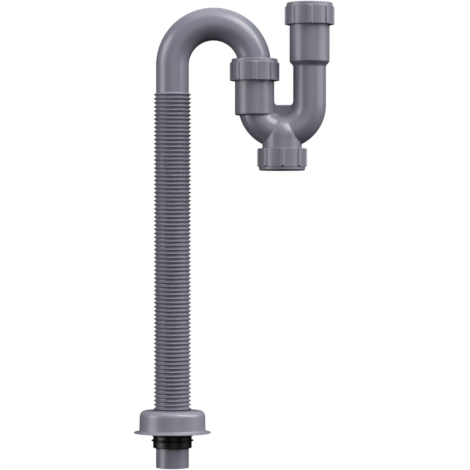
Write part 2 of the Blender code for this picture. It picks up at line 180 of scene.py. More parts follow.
# Half the foot's width and the flank's width, in shares of half a pitch
THREAD_FOOT = 0.62
THREAD_FLANK = 0.36
THREAD_ROWS_PER_TURN = 9
THREAD_FADE = 1.2 * MM
MALE_THREAD = (-13.2 * MM, -0.9 * MM)
FEMALE_THREAD = (-14.7 * MM, -1.1 * MM)
RING_BOTTOM = 2.8 * MM
RING_TOP = 3.8 * MM
RING_BORE = 17.1 * MM
RING_RADIUS = 19.5 * MM
RING_EDGE = 0.2 * MM
SEAL_BORE = 16.45 * MM
SEAL_NOSE = -2.4 * MM
SEAL_NOSE_RADIUS = 16.92 * MM
SEAL_CONE_RADIUS = 18.3 * MM
SEAL_RIM = 0.3 * MM
SEAL_RIM_RADIUS = 19.2 * MM
SEAL_TOP = 2.5 * MM
PLUG_HUB_END = -8.0 * MM
PLUG_WALL = 2.0 * MM
PLUG_DISH = RING_TOP - 0.7 * MM
PLUG_DISH_RADIUS = 14.2 * MM
PLUG_GATE = RING_TOP - 0.35 * MM
PLUG_GATE_RADIUS = 1.1 * MM

# Floor cover and sleeve
COVER_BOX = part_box("floor_cover")
COVER_BASE = COVER_BOX[0].z
COVER_TOP = COVER_BOX[1].z
COVER_WALL = 1.5 * MM
COVER_HOLE = 18.5 * MM
COVER_ARC_STEPS = 8
DOME_RADIUS = 31.8 * MM
DOME_SLOPE = 0.9 * MM
DOME_SHOULDER = 5.6 * MM
DOME_FOOT = 32.3 * MM
FLANGE_RADIUS = 37.5 * MM
FLANGE_THICKNESS = 0.9 * MM
FLANGE_RISE = 2.2 * MM
FLANGE_FILLET = 1.6 * MM
SLEEVE_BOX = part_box("floor_sleeve")
SLEEVE_BORE = 16.3 * MM
SLEEVE_RADIUS = 18.85 * MM
SLEEVE_LIP_RADIUS = 20.5 * MM
SLEEVE_LIP_DEPTHS = (2.0 * MM, 7.2 * MM)
SLEEVE_LIP_FOOT = 0.95 * MM
SLEEVE_LIP_CREST = 0.45 * MM
SLEEVE_FLANGE_RADIUS = 22.0 * MM
SLEEVE_FLANGE_THICKNESS = 2.0 * MM

# Meshes
WELD_DISTANCE = 0.0005 * MM
TURNED_SEGMENTS = 128
ARC_SHARE = 0.45
ARC_HOLD = 0.12

# Studio
FLOOR_Z = -0.80
FLOOR_RADIUS = 2.0
FLOOR_SEGMENTS = 128
FLOOR_DARK = (0.84, 0.84, 0.84)
FLOOR_LIGHT = (0.88, 0.88, 0.88)
HORIZON_STRENGTH = 0.012
SKY_STRENGTH = 0.1


# Making meshes


def object_from(name, points, faces, material, sharp_angle):
    """A smooth-shaded object from lists of points and faces."""
    mesh = bpy.data.meshes.new(name)
    mesh.from_pydata([tuple(point) for point in points], [], [tuple(face) for face in faces])
    bm = bmesh.new()
    bm.from_mesh(mesh)
    bmesh.ops.remove_doubles(bm, verts=bm.verts, dist=WELD_DISTANCE)
    bmesh.ops.recalc_face_normals(bm, faces=bm.faces)
    bm.to_mesh(mesh)
    bm.free()
    mesh.shade_smooth()
    mesh.set_sharp_from_angle(angle=math.radians(sharp_angle))
    mesh.materials.append(material)
    obj = bpy.data.objects.new(name, mesh)
    bpy.context.scene.collection.objects.link(obj)
    return obj


def closed_grid_faces(rows, columns):
    """Quads over a grid of points that closes on itself both ways."""
    index = np.arange(rows * columns).reshape(rows, columns)
    beside = np.roll(index, -1, axis=1)
    below = np.roll(index, -1, axis=0)
    opposite = np.roll(below, -1, axis=1)
    return np.stack([index, beside, opposite, below], axis=-1).reshape(-1, 4)


def grid_object(name, points, material, sharp_angle=40.0):
    """An object from rows of points: each row is a ring, and the last ring joins the first."""
    rows, columns, _ = points.shape
    faces = closed_grid_faces(rows, columns)
    return object_from(name, points.reshape(-1, 3), faces, material, sharp_angle)


def rounded(corners, steps=4):
    """An outline from (radius, height, rounding) corners. Each rounded corner becomes an arc, with
    one more point just before and after it, which keeps the flat faces beside it flat."""
    points = []
    for i, (radius, height, rounding) in enumerate(corners):
        corner = Vector((radius, height))
        if rounding == 0:
            points.append(corner)
            continue
        before = Vector(corners[i - 1][:2]) - corner
        after = Vector(corners[(i + 1) % len(corners)][:2]) - corner
        half = before.angle(after) / 2
        most = min(ARC_SHARE * before.length, ARC_SHARE * after.length)
        reach = min(rounding / math.tan(half), most)
        free = 0.5 * min(before.length, after.length) - reach
        hold = 1 + ARC_HOLD * min(1, free / reach)
        middle = (before.normalized() + after.normalized()).normalized()
        center = corner + middle * reach / math.cos(half)
        first = corner + before.normalized() * reach - center
        last = corner + after.normalized() * reach - center
        points.append(corner + before.normalized() * reach * hold)
        for step in range(steps + 1):
            points.append(center + first.length * first.slerp(last, step / steps))
        points.append(corner + after.normalized() * reach * hold)
    return points


def turned(name, outline, material):
    """An object that a closed outline of (radius, height) points makes when it is turned."""
    angles = np.arange(TURNED_SEGMENTS) * TURN / TURNED_SEGMENTS
    outline = np.array([tuple(point) for point in outline])
    rings = np.empty((len(outline), TURNED_SEGMENTS, 3))
    rings[..., 0] = outline[:, :1] * np.cos(angles)
    rings[..., 1] = outline[:, :1] * np.sin(angles)
    rings[..., 2] = outline[:, 1:]
    return grid_object(name, rings, material)


def arc_points(centre, height, radius, start, end, steps):
    """Points of an arc of an outline, from one angle to another in degrees."""
    angles = np.radians(np.linspace(start, end, steps + 1))
    return [
        (centre + radius * math.cos(angle), height + radius * math.sin(angle)) for angle in angles
    ]


def stand_at(obj, place, upside_down=False):
    """Moves a piece made about the origin to its place. Its mesh moves, and its object doesn't."""
    turn = Matrix.Rotation(math.pi, 4, "X") if upside_down else Matrix.Identity(4)
    obj.data.transform(Matrix.Translation(place) @ turn)
    return obj


def dress(obj, body, slot, *nodes):
    """Says which body the piece rides on and which CAD nodes it stands for. The slot argument is
    not used.
    """
    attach(obj, body)
    if nodes:
        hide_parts(*nodes)


# Trap body: a distance field in millimetres, and the surface where it is zero


def soft_union(a, b, fillet):
    """The smaller of two distances, with a fillet of that size where they meet."""
    near = np.clip(fillet - np.abs(a - b), 0, None) / fillet
    return np.minimum(a, b) - near * near * fillet / 4


def soft_cut(solid, bore, edge):
    """What is left of the solid outside the bore, with its rims rounded."""
    return -soft_union(-solid, bore, edge)


def centre_line_distance(x, y, z):
    """Distance from the waterway's centre line: two legs and the half turn that joins them."""
    legs = np.minimum(np.hypot(x, y), np.hypot(x + 2 * BEND_RADIUS, y))
    bend = np.hypot(np.hypot(x + BEND_RADIUS, z - BEND_Z) - BEND_RADIUS, y)
    return np.where(z > BEND_Z, legs, bend)


def turned_distance(radius, height, outline, rounding=0.0):
    """Distance from a turned solid whose half outline starts and ends on the axis, and whose edges
    are rounded."""
    distance = np.full(radius.shape, np.inf)
    inside = np.zeros(radius.shape, bool)
    mirrored = [(-r, h) for r, h in reversed(outline) if r > 0]
    corners = list(outline) + mirrored
    for (r0, h0), (r1, h1) in zip(corners, corners[1:] + corners[:1]):
        along_r, along_h = r1 - r0, h1 - h0
        length = along_r**2 + along_h**2
        share = np.clip(((radius - r0) * along_r + (height - h0) * along_h) / length, 0, 1)
        away = np.hypot(radius - r0 - share * along_r, height - h0 - share * along_h)
        distance = np.minimum(distance, away)
        crosses = (h0 > height) != (h1 > height)
        slope = along_r / along_h if along_h else 0.0
        inside ^= crosses & (radius < r0 + (height - h0) * slope)
    return np.where(inside, -distance, distance) - rounding


def socket_bore_outline(mouth, stop):
    """A socket's bore from above its mouth, over its chamfer and down to the stop of the pipe."""
    widening = (MOUTH_BORE - SOCKET_BORE) * BORE_OVERSHOOT / MOUTH_CHAMFER_DEPTH
    return [
        (0, mouth + BORE_OVERSHOOT),
        (MOUTH_BORE + widening, mouth + BORE_OVERSHOOT),
        (SOCKET_BORE, mouth - MOUTH_CHAMFER_DEPTH),
        (SOCKET_BORE, stop),
        (LEG_BORE, stop - STOP_TAPER),
        (0, stop - STOP_TAPER),
    ]


def outlet_socket_outline(rounding):
    """The outlet socket's half outline, smaller by the rounding that turned_distance adds again."""
    return [
        (0, OUTLET_MOUTH - rounding),
        (OUTLET_SOCKET - rounding, OUTLET_MOUTH - rounding),
        (OUTLET_SOCKET - rounding, OUTLET_SOCKET_END + rounding),
        (0, OUTLET_SOCKET_END + rounding),
    ]


def inlet_socket_outline(rounding):
    """The inlet socket's half outline down to its cone, smaller in the same way."""
    slope = math.atan2(INLET_SOCKET - LEG, INLET_SOCKET_END - SOCKET_CONE_END)
    lift = rounding * math.tan(slope / 2)
    return [
        (0, -rounding),
        (INLET_SOCKET - rounding, -rounding),
        (INLET_SOCKET - rounding, INLET_SOCKET_END + lift),
        (LEG - rounding, SOCKET_CONE_END + lift),
        (0, SOCKET_CONE_END + lift),
    ]


def capsule_distance(radius, height, size, bottom, top):
    """An upright round bar, cut flat at the bottom and closed by a half sphere at the top."""
    bar = np.hypot(radius, np.clip(height - top, 0, None)) - size
    return np.maximum(bar, bottom - height)


def fin_top(x):
    """The height of the fin's upper edge, which runs up into the two legs in round corners."""
    from_leg = np.minimum(x + 2 * BEND_RADIUS - OUTLET_SOCKET, -LEG - x)
    from_arc = np.clip(FIN_CORNER - from_leg, 0, FIN_CORNER)
    return BEND_Z + FIN_CORNER - np.sqrt(FIN_CORNER**2 - from_arc**2)


def fin_distance(x, y, z):
    """The thin web in the throat of the bend."""
    fin = -soft_union(FIN_HALF_THICKNESS - np.abs(y), fin_top(x) - z, FIN_EDGE)
    beyond = np.maximum(np.abs(x + BEND_RADIUS) - BEND_RADIUS, BEND_Z - LEG - z)
    return np.maximum(fin, beyond)


def distances_from_axes(x, y, z):
    """Distances from the waterway's centre line and from the axes of the three sockets."""
    return {
        "line": centre_line_distance(x, y, z),
        "inlet": np.hypot(x, y),
        "outlet": np.hypot(x + 2 * BEND_RADIUS, y),
        "cleanout": np.hypot(x + BEND_RADIUS, y),
    }


def trap_outside(x, y, z, away):
    """The trap body without its bores."""
    mouth = np.where(x > -BEND_RADIUS, INLET_MOUTH, OUTLET_MOUTH)
    tube = np.maximum(away["line"] - LEG, z - mouth + TUBE_INSET)
    branch = capsule_distance(away["cleanout"], z, BRANCH, CLEANOUT_MOUTH, BRANCH_SPHERE_Z)
    body = soft_union(tube, branch, BRANCH_FILLET)
    outline = inlet_socket_outline(INLET_SOCKET_EDGE)
    socket = turned_distance(away["inlet"], z, outline, INLET_SOCKET_EDGE)
    body = soft_union(body, socket, SOCKET_FILLET)
    body = soft_union(body, fin_distance(x, y, z), FIN_FILLET)
    outline = outlet_socket_outline(OUTLET_SOCKET_EDGE)
    socket = turned_distance(away["outlet"], z, outline, OUTLET_SOCKET_EDGE)
    return soft_union(body, socket, SOCKET_FILLET)


def cleanout_chamfer(z, away):
    """The chamfer in the cleanout's mouth."""
    depth_left = CLEANOUT_MOUTH + MOUTH_CHAMFER_DEPTH - z
    share = np.clip(depth_left / MOUTH_CHAMFER_DEPTH, 0, None)
    chamfer = away["cleanout"] - SOCKET_BORE - (MOUTH_BORE - SOCKET_BORE) * share
    above = z - CLEANOUT_MOUTH - MOUTH_CHAMFER_DEPTH
    return np.maximum(MOUTH_CHAMFER_COSINE * chamfer, above)


def trap_inside(z, away):
    """The waterway and the three sockets' bores."""
    inlet_outline = socket_bore_outline(INLET_MOUTH, INLET_STOP)
    outlet_outline = socket_bore_outline(OUTLET_MOUTH, OUTLET_STOP)
    cleanout_start = CLEANOUT_MOUTH - BORE_OVERSHOOT
    bore = away["line"] - LEG_BORE
    for hollow in (
        turned_distance(away["inlet"], z, inlet_outline),
        turned_distance(away["outlet"], z, outlet_outline),
        capsule_distance(away["cleanout"], z, SOCKET_BORE, cleanout_start, BRANCH_SPHERE_Z),
        cleanout_chamfer(z, away),
    ):
        bore = np.minimum(bore, hollow)
    return bore


def trap_distance(points):
    """The trap body's field at points in millimetres, less than zero inside the plastic."""
    x, y, z = points[..., 0], points[..., 1], points[..., 2]
    away = distances_from_axes(x, y, z)
    return soft_cut(trap_outside(x, y, z, away), trap_inside(z, away), RIM_EDGE)


def field_axes():
    """Grid coordinates round the trap body in millimetres, alike on both sides of its middle."""
    low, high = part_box("trap_body")
    axes = []
    for start, end in zip(low, high):
        middle = (start + end) / 2 / MM
        half = (end - start) / 2 / MM + FIELD_MARGIN
        steps = math.ceil(half / FIELD_STEP)
        axes.append(middle + np.arange(-steps, steps + 1) * FIELD_STEP)
    return axes


def cell_edges(cells, axis):
    """For each of a cell's four edges along an axis, the slices of their starts and ends."""
    others = [other for other in range(3) if other != axis]
    for first in (0, 1):
        for second in (0, 1):
            start = [slice(0, size) for size in cells]
            start[others[0]] = slice(first, cells[others[0]] + first)
            start[others[1]] = slice(second, cells[others[1]] + second)
            end = list(start)
            end[axis] = slice(1, cells[axis] + 1)
            yield tuple(start), tuple(end)


def crossing_points(grid, field):
    """For each cell, the sum and the count of the points where the surface crosses its edges."""
    cells = tuple(size - 1 for size in field.shape)
    total = np.zeros(cells + (3,))
    count = np.zeros(cells)
    for axis in range(3):
        for start, end in cell_edges(cells, axis):
            crosses = (field[start] < 0) != (field[end] < 0)
            gap = np.where(crosses, field[start] - field[end], 1.0)
            share = np.where(crosses, field[start] / gap, 0.0)
            place = grid[start] + share[..., None] * (grid[end] - grid[start])
            total += np.where(crosses[..., None], place, 0.0)
            count += crosses
    return total, count


def surface_quads(field, index):
    """A quad round each grid edge that the surface crosses, with its normal pointing out."""
    quads = []
    for axis in range(3):
        one = (axis + 1) % 3
        two = (axis + 2) % 3
        start = [slice(1, size - 1) for size in field.shape]
        end = list(start)
        start[axis] = slice(0, field.shape[axis] - 1)
        end[axis] = slice(1, field.shape[axis])
        inside_first = field[tuple(start)] < 0
        crosses = np.argwhere(inside_first != (field[tuple(end)] < 0))
        leaving = inside_first[tuple(crosses.T)]
        cell = crosses.copy()
        cell[:, one] += 1
        cell[:, two] += 1
        back_one = np.eye(3, dtype=int)[one]
        back_two = np.eye(3, dtype=int)[two]
        corners = [cell, cell - back_one, cell - back_one - back_two, cell - back_two]
        ring = np.stack([index[tuple(corner.T)] for corner in corners], axis=1)
        quads.append(np.where(leaving[:, None], ring, ring[:, ::-1]))
    return np.concatenate(quads)


def slope_of(distance, points, step=0.05):
    """The direction in which a distance field grows fastest, at each point."""
    slope = np.empty_like(points)
    for axis in range(3):
        move = np.zeros(3)
        move[axis] = step
        slope[:, axis] = (distance(points + move) - distance(points - move)) / (2 * step)
    return slope


def settle(distance, points, rounds=4, least_slope=0.2):
    """Moves points onto the surface where the distance is zero."""
    for _ in range(rounds):
        slope = slope_of(distance, points)
        size = np.clip((slope**2).sum(axis=1), least_slope, None)
        points = points - (distance(points) / size)[:, None] * slope
    return points


def make_trap_body(material):
    """The surface of the trap's field, with the field's slopes for its normals."""
    grid = np.stack(np.meshgrid(*field_axes(), indexing="ij"), axis=-1)
    field = trap_distance(grid)
    total, count = crossing_points(grid, field)
    used = count > 0
    index = np.full(used.shape, -1)
    index[used] = np.arange(used.sum())
    points = settle(trap_distance, total[used] / count[used][:, None])
    slope = slope_of(trap_distance, points)
    normals = slope / np.linalg.norm(slope, axis=1)[:, None]
    mesh = bpy.data.meshes.new("trap_body_surface")
    mesh.from_pydata((points * MM).tolist(), [], surface_quads(field, index).tolist())
    mesh.shade_smooth()
    mesh.normals_split_custom_set_from_vertices(normals.tolist())
    mesh.materials.append(material)
    obj = bpy.data.objects.new("trap_body_surface", mesh)
    bpy.context.scene.collection.objects.link(obj)
    dress(obj, "trap", "trap_plastic", "trap_body")


# Threads and nuts


def smooth_step(share):
    """Eases a share from 0 to 1."""
    share = np.clip(share, 0, 1)
    return share * share * (3 - 2 * share)


def thread_height(heights, angles, span, phase):
    """The height of a right-hand thread over its root, running out at both ends of its span."""
    turns = heights / THREAD_PITCH - angles / TURN + phase
    from_crest = 2 * np.abs(turns - np.floor(turns) - 0.5)
    profile = smooth_step((THREAD_FOOT - from_crest) / THREAD_FLANK)
    low_end = smooth_step((heights - span[0]) / THREAD_FADE)
    high_end = smooth_step((span[1] - heights) / THREAD_FADE)
    run_out = low_end * high_end
    return THREAD_DEPTH * profile * run_out


def thread_rows(span):
    """The heights of a thread's rows of points."""
    count = math.ceil((span[1] - span[0]) / THREAD_PITCH * THREAD_ROWS_PER_TURN)
    return np.linspace(span[0], span[1], count + 1)


def radial_grid(radii, heights, angles):
    """Points from a radius and a height for each row and column."""
    across = radii * np.cos(angles)
    along = radii * np.sin(angles)
    return np.stack([across, along, heights * np.ones_like(radii)], axis=-1)


def make_socket_thread(name, place, upside_down, material):
    """The male thread round a socket's end. Its inner side lies inside the socket's wall."""
    angles = np.arange(MALE_SEGMENTS)[None, :] * TURN / MALE_SEGMENTS
    heights = thread_rows(MALE_THREAD)[:, None]
    outer = MALE_ROOT + thread_height(heights, angles, MALE_THREAD, 0.0)
    inner = np.full_like(outer[:2], MALE_INSIDE)
    radii = np.concatenate([outer, inner])
    heights = np.concatenate([heights, heights[-1:], heights[:1]])
    obj = grid_object(name, radial_grid(radii, heights, angles), material)
    stand_at(obj, place, upside_down)
    dress(obj, "trap", "trap_plastic")


def nut_angles():
    """Columns round the nut, close together across each rib's edges."""
    sector = TURN / RIB_COUNT
    columns = [-column for column in RIB_SIDE[:0:-1]] + list(RIB_SIDE)
    offsets = [column * MM / NUT_RADIUS for column in columns]
    edge = offsets[-1]
    gap = sector - 2 * edge
    for i in range(COLUMNS_BETWEEN_RIBS):
        offsets.append(edge + gap * (i + 1) / (COLUMNS_BETWEEN_RIBS + 1))
    return np.array([rib * sector + offset for rib in range(RIB_COUNT) for offset in offsets])


def rib_height(angles):
    """The height of the grip ribs over the nut's wall at each angle."""
    sector = TURN / RIB_COUNT
    across = np.abs((angles + sector / 2) % sector - sector / 2) * NUT_RADIUS
    return RIB_HEIGHT * np.interp(across / MM, RIB_SIDE, RIB_PROFILE)


def rib_share(height):
    """How much of a rib there is: it is rounded at the open end and slants to the ledge."""
    foot = min((height - NUT_OPEN_END) / NUT_EDGE, 1)
    slant = min(max((RIB_TOP - height) / RIB_SLANT, 0), 1)
    rounding = RIB_FOOT + (1 - RIB_FOOT) * math.sqrt(foot)
    straight = (1 - RIB_SLANT_SOFTNESS) * slant
    return rounding * (RIB_SLANT_SOFTNESS * float(smooth_step(slant)) + straight)


def nut_outside():
    """(radius, height, share of a rib's height) outside, from the open end to the lip's bore."""
    edge = NUT_OPEN_END + NUT_EDGE
    shoulder_radius = NUT_LIP_RADIUS - NUT_SHOULDER
    shoulder = NUT_TOP - NUT_SHOULDER
    outline = arc_points(NUT_RADIUS - NUT_EDGE, edge, NUT_EDGE, -90, 0, NUT_EDGE_STEPS)
    outline += [(NUT_RADIUS, edge + (RIB_TOP - edge) * share) for share in RIB_SHARES]
    outline += [(NUT_RADIUS, RIB_TOP - RIB_SLANT * share) for share in RIB_SLANT_SHARES]
    for share in NUT_LEDGE_SHARES:
        radius = NUT_RADIUS - float(smooth_step(share)) * (NUT_RADIUS - NUT_LIP_RADIUS)
        outline.append((radius, NUT_LEDGE[0] + (NUT_LEDGE[1] - NUT_LEDGE[0]) * share))
    outline.append((NUT_LIP_RADIUS, shoulder - 0.2 * MM))
    outline += arc_points(shoulder_radius, shoulder, NUT_SHOULDER, 0, 90, NUT_SHOULDER_STEPS)
    outline += [
        (shoulder_radius - 0.3 * MM, NUT_TOP),
        (NUT_LIP_BORE + 0.5 * MM, NUT_TOP),
        (NUT_LIP_BORE + 0.3 * MM, NUT_TOP),
        (NUT_LIP_BORE + 0.09 * MM, NUT_TOP - 0.09 * MM),
        (NUT_LIP_BORE, NUT_TOP - 0.3 * MM),
    ]
    open_end = (NUT_RADIUS - NUT_EDGE - 0.2 * MM, NUT_OPEN_END, 0.0)
    return [open_end] + [(radius, height, rib_share(height)) for radius, height in outline]


def nut_inside():
    """(radius, height) from the lip's bore down to the thread's upper end."""
    return [
        (NUT_LIP_BORE, NUT_LIP_INSIDE + 0.3 * MM),
        (NUT_LIP_BORE + 0.1 * MM, NUT_LIP_INSIDE + 0.08 * MM),
        (NUT_LIP_BORE + 0.3 * MM, NUT_LIP_INSIDE),
        (NUT_SEAT_BORE - 0.3 * MM, NUT_LIP_INSIDE),
        (NUT_SEAT_BORE - 0.08 * MM, NUT_LIP_INSIDE - 0.08 * MM),
        (NUT_SEAT_BORE, NUT_LIP_INSIDE - 0.3 * MM),
        (NUT_SEAT_BORE, -0.2 * MM),
        (FEMALE_ROOT, FEMALE_THREAD[1] + 0.05 * MM),
    ]


def make_nut(name, place, upside_down, body, node, material):
    """A ribbed nut with its lip and thread, as one closed surface."""
    angles = nut_angles()[None, :]
    outside = np.array(nut_outside())
    inside = np.array(nut_inside())
    bore_heights = thread_rows(FEMALE_THREAD)[::-1][:, None]
    outer = outside[:, :1] + outside[:, 2:] * rib_height(angles)
    inner = inside[:, :1] + 0 * angles
    bore = FEMALE_ROOT - thread_height(bore_heights, angles, FEMALE_THREAD, 0.5)
    radii = np.concatenate([outer, inner, bore])
    heights = np.concatenate([outside[:, 1:2], inside[:, 1:], bore_heights])
    obj = grid_object(name, radial_grid(radii, heights, angles), material, sharp_angle=50.0)
    stand_at(obj, place, upside_down)
    dress(obj, body, "nut_plastic", node)


def make_slip_ring(name, place, body, node, material):
    """The thin ring that lets the nut turn on the seal."""
    corners = [
        (RING_BORE, RING_BOTTOM, RING_EDGE),
        (RING_RADIUS, RING_BOTTOM, RING_EDGE),
        (RING_RADIUS, RING_TOP, RING_EDGE),
        (RING_BORE, RING_TOP, RING_EDGE),
    ]
    obj = stand_at(turned(name, rounded(corners), material), place)
    dress(obj, body, "ring_plastic", node)


def make_seal(name, place, upside_down, body, node, material):
    """A tapered rubber washer with soft edges."""
    corners = [
        (SEAL_BORE, SEAL_NOSE, 0.15 * MM),
        (SEAL_NOSE_RADIUS, SEAL_NOSE, 0.15 * MM),
        (SEAL_CONE_RADIUS, 0.0, 0.1 * MM),
        (SEAL_CONE_RADIUS, SEAL_RIM, 0.1 * MM),
        (SEAL_RIM_RADIUS, SEAL_RIM, 0.25 * MM),
        (SEAL_RIM_RADIUS, SEAL_TOP, 0.4 * MM),
        (SEAL_BORE, SEAL_TOP, 0.3 * MM),
    ]
    obj = stand_at(turned(name, rounded(corners), material), place, upside_down)
    dress(obj, body, "seal_rubber", node)


def make_cleanout_plug(material):
    """The blanking plug, with a shallow dish and the mould's gate mark in its outer face."""
    floor = RING_TOP - PLUG_WALL
    corners = [
        (0.0, PLUG_GATE, 0),
        (PLUG_GATE_RADIUS, PLUG_GATE, 0.15 * MM),
        (PLUG_GATE_RADIUS + 0.3 * MM, PLUG_DISH, 0.2 * MM),
        (PLUG_DISH_RADIUS - 1.0 * MM, PLUG_DISH, 0.5 * MM),
        (PLUG_DISH_RADIUS, RING_TOP, 0.4 * MM),
        (RING_RADIUS, RING_TOP, 0.3 * MM),
        (RING_RADIUS, RING_BOTTOM, 0.25 * MM),
        (PIPE_RADIUS, RING_BOTTOM, 0.2 * MM),
        (PIPE_RADIUS, PLUG_HUB_END, 0.6 * MM),
        (PIPE_RADIUS - PLUG_WALL, PLUG_HUB_END, 0.4 * MM),
        (PIPE_RADIUS - PLUG_WALL, floor, 0.8 * MM),
        (0.0, floor, 0),
    ]
    obj = stand_at(turned("cleanout_plug_surface", rounded(corners), material), CLEANOUT, True)
    dress(obj, "cleanout_plug", "nut_plastic", "cleanout_plug")


# Hook and corrugated pipe, one surface from the trap's outlet to the floor spigot. A station is
# (x, z, angle of the centre line's normal, radius) of one ring of points


def hook_stations(radius, steps):
    """Stations from the foot in the socket over the hook."""
    centre_x = (OUTLET.x + FLEX.x) / 2
    below_arc = HOOK_ARC_Z - 2 * MM
    rising = np.linspace(HOOK_INSERT_Z + 1.0 * MM, below_arc, 4)
    falling = np.linspace(below_arc, HOOK_FOOT_Z + 1.5 * MM, 5)
    stations = [(OUTLET.x, z, 0.0, radius) for z in rising]
    for i in range(steps + 1):
        angle = math.pi * i / steps
        x = centre_x + HOOK_RADIUS * math.cos(angle)
        stations.append((x, HOOK_ARC_Z + HOOK_RADIUS * math.sin(angle), angle, radius))
    return stations + [(FLEX.x, z, math.pi, radius) for z in falling]


def crest_rings(crest):
    """(height, radius) down over one pointed crest, whose upper flank is the shorter one."""
    above = [(crest + CREST_ABOVE * share, share) for share in reversed(CREST_SAMPLES)]
    below = [(crest - CREST_BELOW * share, share) for share in CREST_SAMPLES]
    return [(z, PIPE_RADIUS + CREST_HEIGHT * (1 - share)) for z, share in above + below]


def corrugation_stations():
    """The rings' outside, with more stations over each crest than in the valleys."""
    valley_start = FIRST_CREST_Z + CREST_ABOVE + 0.2 * MM
    rings = [(HOOK_FOOT_Z, PIPE_RADIUS), (valley_start, PIPE_RADIUS)]
    for i in range(CREST_COUNT):
        crest = FIRST_CREST_Z - i * CREST_PITCH
        rings += crest_rings(crest)
        rings.append((crest - CREST_BELOW - 0.03 * MM, PIPE_RADIUS))
    return [(FLEX.x, height, math.pi, radius) for height, radius in rings]


def outside_stations():
    """The outside, from the foot in the socket to the spigot's end."""
    spigot_start = LAST_CREST_Z - CREST_BELOW - 0.5 * MM
    spigot = np.linspace(spigot_start, PIPE_END_Z + 2 * SPIGOT_CHAMFER, 8)
    stations = [
        (OUTLET.x, HOOK_INSERT_Z, 0.0, PIPE_RADIUS - 0.6 * MM),
        (OUTLET.x, HOOK_INSERT_Z + 0.2 * MM, 0.0, PIPE_RADIUS - 0.15 * MM),
        (OUTLET.x, HOOK_INSERT_Z + 0.6 * MM, 0.0, PIPE_RADIUS),
    ]
    stations += hook_stations(PIPE_RADIUS, HOOK_STEPS)
    stations += corrugation_stations()
    stations += [(FLEX.x, z, math.pi, PIPE_RADIUS) for z in spigot]
    stations += [
        (FLEX.x, PIPE_END_Z + SPIGOT_CHAMFER, math.pi, PIPE_RADIUS),
        (FLEX.x, PIPE_END_Z + 0.15 * MM, math.pi, PIPE_RADIUS - 0.13 * MM),
        (FLEX.x, PIPE_END_Z, math.pi, PIPE_RADIUS - SPIGOT_CHAMFER),
    ]
    return stations


def inside_stations():
    """The bore, from the spigot's end back to the foot in the socket."""
    bending = np.linspace(HOOK_FOOT_Z, FLEX.z - FLEX_REACH, FLEX_BORE_STEPS)
    stations = [
        (OUTLET.x, HOOK_INSERT_Z, 0.0, PIPE_BORE + 0.3 * MM),
        (OUTLET.x, HOOK_INSERT_Z + 0.3 * MM, 0.0, PIPE_BORE),
    ]
    stations += hook_stations(PIPE_BORE, HOOK_BORE_STEPS)
    stations += [(FLEX.x, z, math.pi, PIPE_BORE) for z in bending]
    stations += [
        (FLEX.x, PIPE_END_Z + 0.3 * MM, math.pi, PIPE_BORE),
        (FLEX.x, PIPE_END_Z, math.pi, PIPE_BORE + 0.3 * MM),
    ]
    return stations[::-1]


def station_rings(stations):
    """A ring of points round the centre line at each station."""
    table = np.array(stations)
    x, z, heading, radius = (table[:, i, None] for i in range(4))
    angles = np.arange(PIPE_SEGMENTS)[None, :] * TURN / PIPE_SEGMENTS
    across = radius * np.cos(angles)
    along = radius * np.sin(angles)
    return np.stack([x + across * np.cos(heading), along, z + across * np.sin(heading)], axis=-1)


def make_hook_and_pipe(material):
    """Hook and pipe as one surface, in place of their two CAD parts."""
    rings = station_rings(outside_stations() + inside_stations())
    obj = grid_object("hook_and_pipe_surface", rings, material, sharp_angle=60.0)
    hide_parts("outlet_bend", "corrugated_pipe")
    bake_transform(obj)


# Floor sleeve and cover


def make_floor_sleeve(material):
    """The rubber sleeve, with a flange inside the cover and two thin lips below it."""
    top = SLEEVE_BOX[1].z
    end = SLEEVE_BOX[0].z
    flange_under = top - SLEEVE_FLANGE_THICKNESS
    corners = [
        (SLEEVE_BORE, top, 0.4 * MM),
        (SLEEVE_FLANGE_RADIUS, top, 0.5 * MM),
        (SLEEVE_FLANGE_RADIUS, flange_under, 0.5 * MM),
        (SLEEVE_RADIUS, flange_under, 0.6 * MM),
    ]
    for depth in SLEEVE_LIP_DEPTHS:
        lip = COVER_BASE - depth
        corners += [
            (SLEEVE_RADIUS, lip + SLEEVE_LIP_FOOT, 0.5 * MM),
            (SLEEVE_LIP_RADIUS, lip + SLEEVE_LIP_CREST, 0.35 * MM),
            (SLEEVE_LIP_RADIUS, lip - SLEEVE_LIP_CREST, 0.35 * MM),
            (SLEEVE_RADIUS, lip - SLEEVE_LIP_FOOT, 0.5 * MM),
        ]
    corners += [(SLEEVE_RADIUS, end, 0.8 * MM), (SLEEVE_BORE, end, 0.25 * MM)]
    obj = turned("floor_sleeve_surface", rounded(corners), material)
    stand_at(obj, Vector((FLEX.x, 0, 0)))
    dress(obj, "pipe", "sleeve_rubber", "floor_sleeve")


def make_floor_cover(material):
    """The domed cover with its thin flange, open below."""
    inner_top = COVER_TOP - DOME_SLOPE - COVER_WALL
    corners = [
        (COVER_HOLE, COVER_TOP, 0.3 * MM),
        (DOME_RADIUS, COVER_TOP - DOME_SLOPE, DOME_SHOULDER),
        (DOME_FOOT, COVER_BASE + FLANGE_RISE, FLANGE_FILLET),
        (FLANGE_RADIUS, COVER_BASE + FLANGE_THICKNESS, 0.4 * MM),
        (FLANGE_RADIUS, COVER_BASE, 0.3 * MM),
        (DOME_FOOT - COVER_WALL, COVER_BASE, 0.4 * MM),
        (DOME_RADIUS - COVER_WALL, inner_top, DOME_SHOULDER - COVER_WALL),
        (COVER_HOLE, COVER_TOP - COVER_WALL, 0.3 * MM),
    ]
    obj = turned("floor_cover_surface", rounded(corners, COVER_ARC_STEPS), material)
    stand_at(obj, Vector((FLEX.x, 0, 0)))
    dress(obj, "cover", "cover_plastic", "floor_cover")


# Materials


